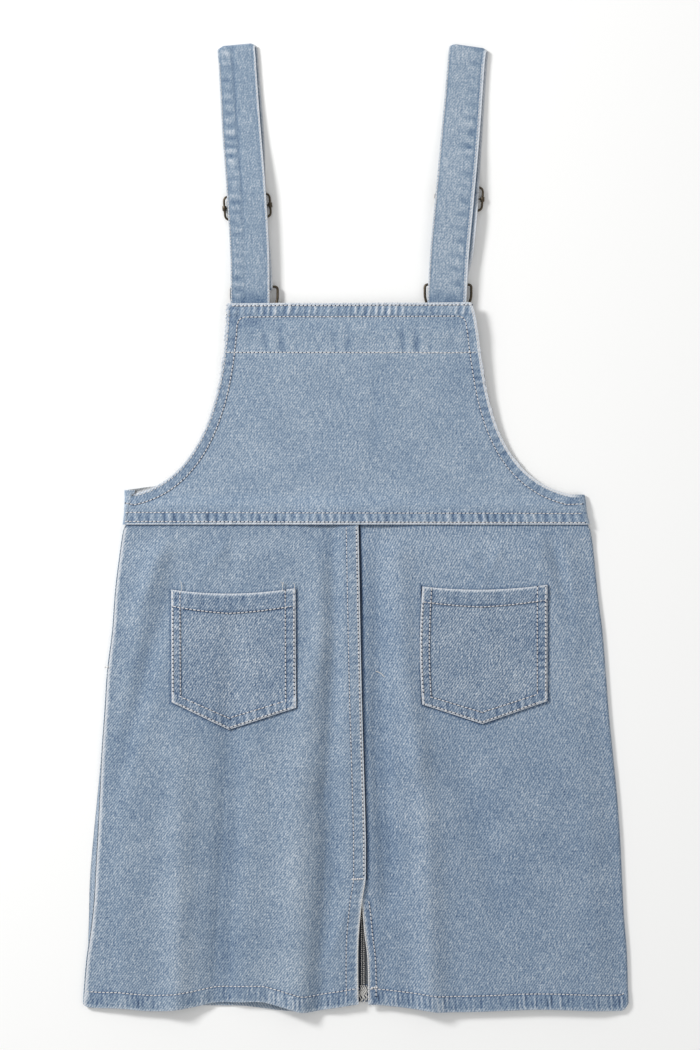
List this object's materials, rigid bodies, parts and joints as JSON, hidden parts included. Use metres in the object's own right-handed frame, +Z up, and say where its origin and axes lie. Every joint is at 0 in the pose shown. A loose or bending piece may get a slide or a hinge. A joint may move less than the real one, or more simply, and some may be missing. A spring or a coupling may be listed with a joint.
{
  "type": "pinafore dress",
  "caption": "Denim pinafore dress laid flat on its front: bib back, strap loops folded at the shoulder, two patch pockets, centre-back seam with hem slit.",
  "frame": {"origin": "middle of the laid dress in plan, on the surface that it rests on", "axes": "+Y from the hem towards the shoulder straps, +X to the right as seen from above, +Z up out of the back of the dress"},
  "size_m": [0.4915, 0.8709, 0.0099],
  "materials": {
    "denim": "light-wash blue cotton twill, matt, with worn seam edges",
    "hardware": "dark antique brass wire, half matt"
  },
  "bodies": {
    "root": {"back_skirt_left": "denim", "back_skirt_right": "denim", "front_skirt_left": "denim", "front_skirt_right": "denim", "back_bib": "denim", "front_bib": "denim", "pocket_left": "denim", "pocket_right": "denim", "strap_left": "denim", "strap_right": "denim", "slide_left": "hardware", "slide_right": "hardware", "buckle_left": "hardware", "buckle_right": "hardware", "button_left": "hardware", "button_right": "hardware"}
  },
  "joints": []
}
